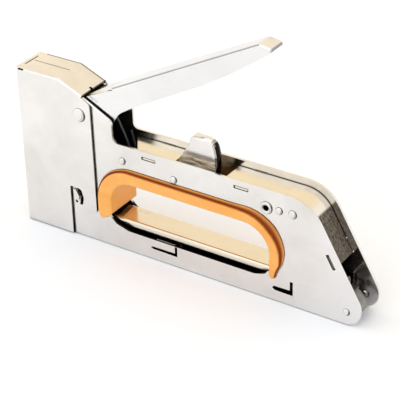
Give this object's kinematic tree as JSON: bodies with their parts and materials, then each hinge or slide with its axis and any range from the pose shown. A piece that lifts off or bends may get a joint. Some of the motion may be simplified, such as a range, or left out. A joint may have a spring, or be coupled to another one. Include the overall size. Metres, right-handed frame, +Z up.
{
  "type": "staple gun",
  "caption": "Hand staple gun with folded steel body, squeeze lever with return spring, spring-driven plunger, lined finger opening, storage latch and rear-loading magazine.",
  "frame": {"origin": "centre of the bounding box at the level of the base", "axes": "+X from the nose to the tail, +Y to the tool's right side, +Z up from the base"},
  "size_m": [0.1782, 0.0216, 0.1193],
  "materials": {
    "plated_steel": "bright nickel plate on pressed sheet",
    "dark_steel": "plain oiled steel",
    "spring_steel": "drawn wire and hardened strip",
    "orange_plastic": "moulded, slightly satin",
    "black_rubber": "matt"
  },
  "bodies": {
    "body": {"left_side_plate": "plated_steel", "right_side_plate": "plated_steel", "head_cover": "plated_steel", "finger_grip": "orange_plastic", "front_bridge": "plated_steel", "rear_bridge": "plated_steel", "lever_pivot_rivet": "plated_steel", "return_spring_rivet": "plated_steel", "latch_pivot_rivet": "plated_steel", "rear_tube_rivet": "plated_steel", "rear_rivet_front": "plated_steel", "rear_rivet_back": "plated_steel", "left_tail_stud": "plated_steel", "right_tail_stud": "plated_steel", "lever_spacer_tube": "plated_steel", "main_spring": "spring_steel", "spring_guide": "dark_steel", "plunger_bumper": "black_rubber", "nose_plate": "dark_steel", "lever_return_spring": "spring_steel", "staple_rail": "dark_steel", "magazine_cover": "plated_steel", "staple_strip": "spring_steel"},
    "lever_body": {"lever": "plated_steel"},
    "striker": {"plunger": "dark_steel", "driver_blade": "spring_steel"},
    "latch": {"handle_latch": "plated_steel"},
    "loader": {"pusher": "dark_steel", "pusher_rod": "spring_steel", "pusher_spring": "spring_steel", "end_catch": "dark_steel"}
  },
  "joints": [
    {"name": "lever_hinge", "type": "hinge", "parent": "body", "child": "lever_body", "pos_m": [-0.0542, 0, 0.0646], "axis": [0, 1, 0], "range_deg": [0, 28], "stiffness_Nm_per_rad": 0.5, "springref_deg": -28.65, "deforming": ["lever_return_spring"]},
    {"name": "striker_slide", "type": "slide", "parent": "body", "child": "striker", "axis": [0, 0, 1], "range_m": [0, 0.0122], "deforming": ["main_spring"]},
    {"name": "latch_hinge", "type": "hinge", "parent": "body", "child": "latch", "pos_m": [-0.0048, 0, 0.0453], "axis": [0, 1, 0], "range_deg": [0, 20]},
    {"name": "loader_slide", "type": "slide", "parent": "body", "child": "loader", "axis": [1, 0, 0], "range_m": [0, 0.095]}
  ],
  "couplings": [
    {"joint": "striker_slide", "follows": "lever_hinge", "m_per_rad": 0.02496}
  ]
}
